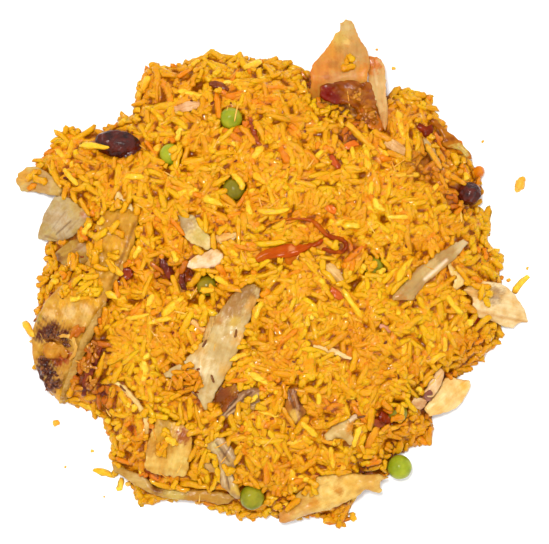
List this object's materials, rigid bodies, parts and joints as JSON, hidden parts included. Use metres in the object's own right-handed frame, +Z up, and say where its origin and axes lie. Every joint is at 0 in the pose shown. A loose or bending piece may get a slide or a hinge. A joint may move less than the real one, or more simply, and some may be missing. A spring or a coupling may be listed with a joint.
{
  "type": "biryani",
  "caption": "Heap of yellow chicken biryani as it lies on a table: rice with torn chicken, peas, raisins, onion and chilli strips",
  "frame": {"origin": "on the table, under the middle of the heap's bounding box", "axes": "+Z up from the table; +Y towards the side where the onion petal sticks out; +X to the right of it, seen from above"},
  "size_m": [0.1754, 0.176, 0.0258],
  "materials": {
    "rice": "moist cooked rice, orange-yellow",
    "pale_chicken": "moist cooked chicken, cream, with yellow patches",
    "brown_chicken": "roasted chicken, tan, charred in patches",
    "grey_chicken": "fibrous cooked chicken, pinkish grey",
    "glazed_meat": "dark red-brown glaze, glossy",
    "onion_strip": "soft cooked onion, translucent, glossy",
    "onion_petal": "thin onion layer, orange-tan, translucent",
    "browned_onion": "fried onion, brown, glossy",
    "chilli": "cooked red chilli skin, glossy",
    "carrot": "cooked carrot, orange",
    "pea": "cooked green pea, glossy",
    "raisin": "plumped raisin, dark maroon, wrinkled and glossy"
  },
  "bodies": {
    "root": {"pea_1": "pea", "pea_2": "pea", "pea_3": "pea", "pea_4": "pea", "pea_5": "pea", "pea_6": "pea", "pea_7": "pea", "pea_8": "pea", "carrot_ball_1": "carrot", "raisin_left": "raisin", "raisin_right": "raisin", "chilli_strip_main": "chilli", "chilli_strip_loop": "chilli", "chilli_strip_short": "chilli", "onion_petal_top": "onion_petal", "onion_strip_top": "onion_strip", "onion_strip_right": "onion_strip", "chicken_long_left": "brown_chicken", "chicken_pale_left": "pale_chicken", "chicken_small_left": "brown_chicken", "chicken_far_left": "brown_chicken", "chicken_middle": "pale_chicken", "chicken_middle_branch": "pale_chicken", "chicken_low_left": "pale_chicken", "chicken_bottom": "pale_chicken", "chicken_thin_bottom": "brown_chicken", "chicken_right": "pale_chicken", "chicken_low_right": "pale_chicken", "chicken_strip_low_right": "pale_chicken", "meat_glazed_top": "glazed_meat", "chicken_white_upper": "pale_chicken", "chicken_white_lower": "pale_chicken", "chicken_dark_middle": "grey_chicken", "chicken_dark_right": "grey_chicken", "chicken_low_middle": "grey_chicken", "chicken_arch": "pale_chicken", "chicken_shred_upper": "grey_chicken", "chicken_shred_left": "grey_chicken", "chicken_shred_middle": "grey_chicken", "chicken_sliver_top_right": "grey_chicken", "chicken_bit_middle": "grey_chicken", "chicken_strand_low_left": "grey_chicken", "chicken_bit_top_left": "grey_chicken", "chicken_bit_top_right": "grey_chicken", "browned_onion_right": "browned_onion", "browned_onion_top": "browned_onion", "browned_onion_left": "browned_onion", "browned_onion_middle": "browned_onion", "browned_onion_curl": "browned_onion", "browned_onion_low_left": "browned_onion", "browned_onion_low_right": "browned_onion", "browned_onion_bit_top": "browned_onion", "tomato_bit_middle": "chilli", "tomato_skin_top": "chilli", "carrot_bit_top": "carrot", "carrot_bit_middle": "carrot", "rice": "rice"}
  },
  "joints": []
}
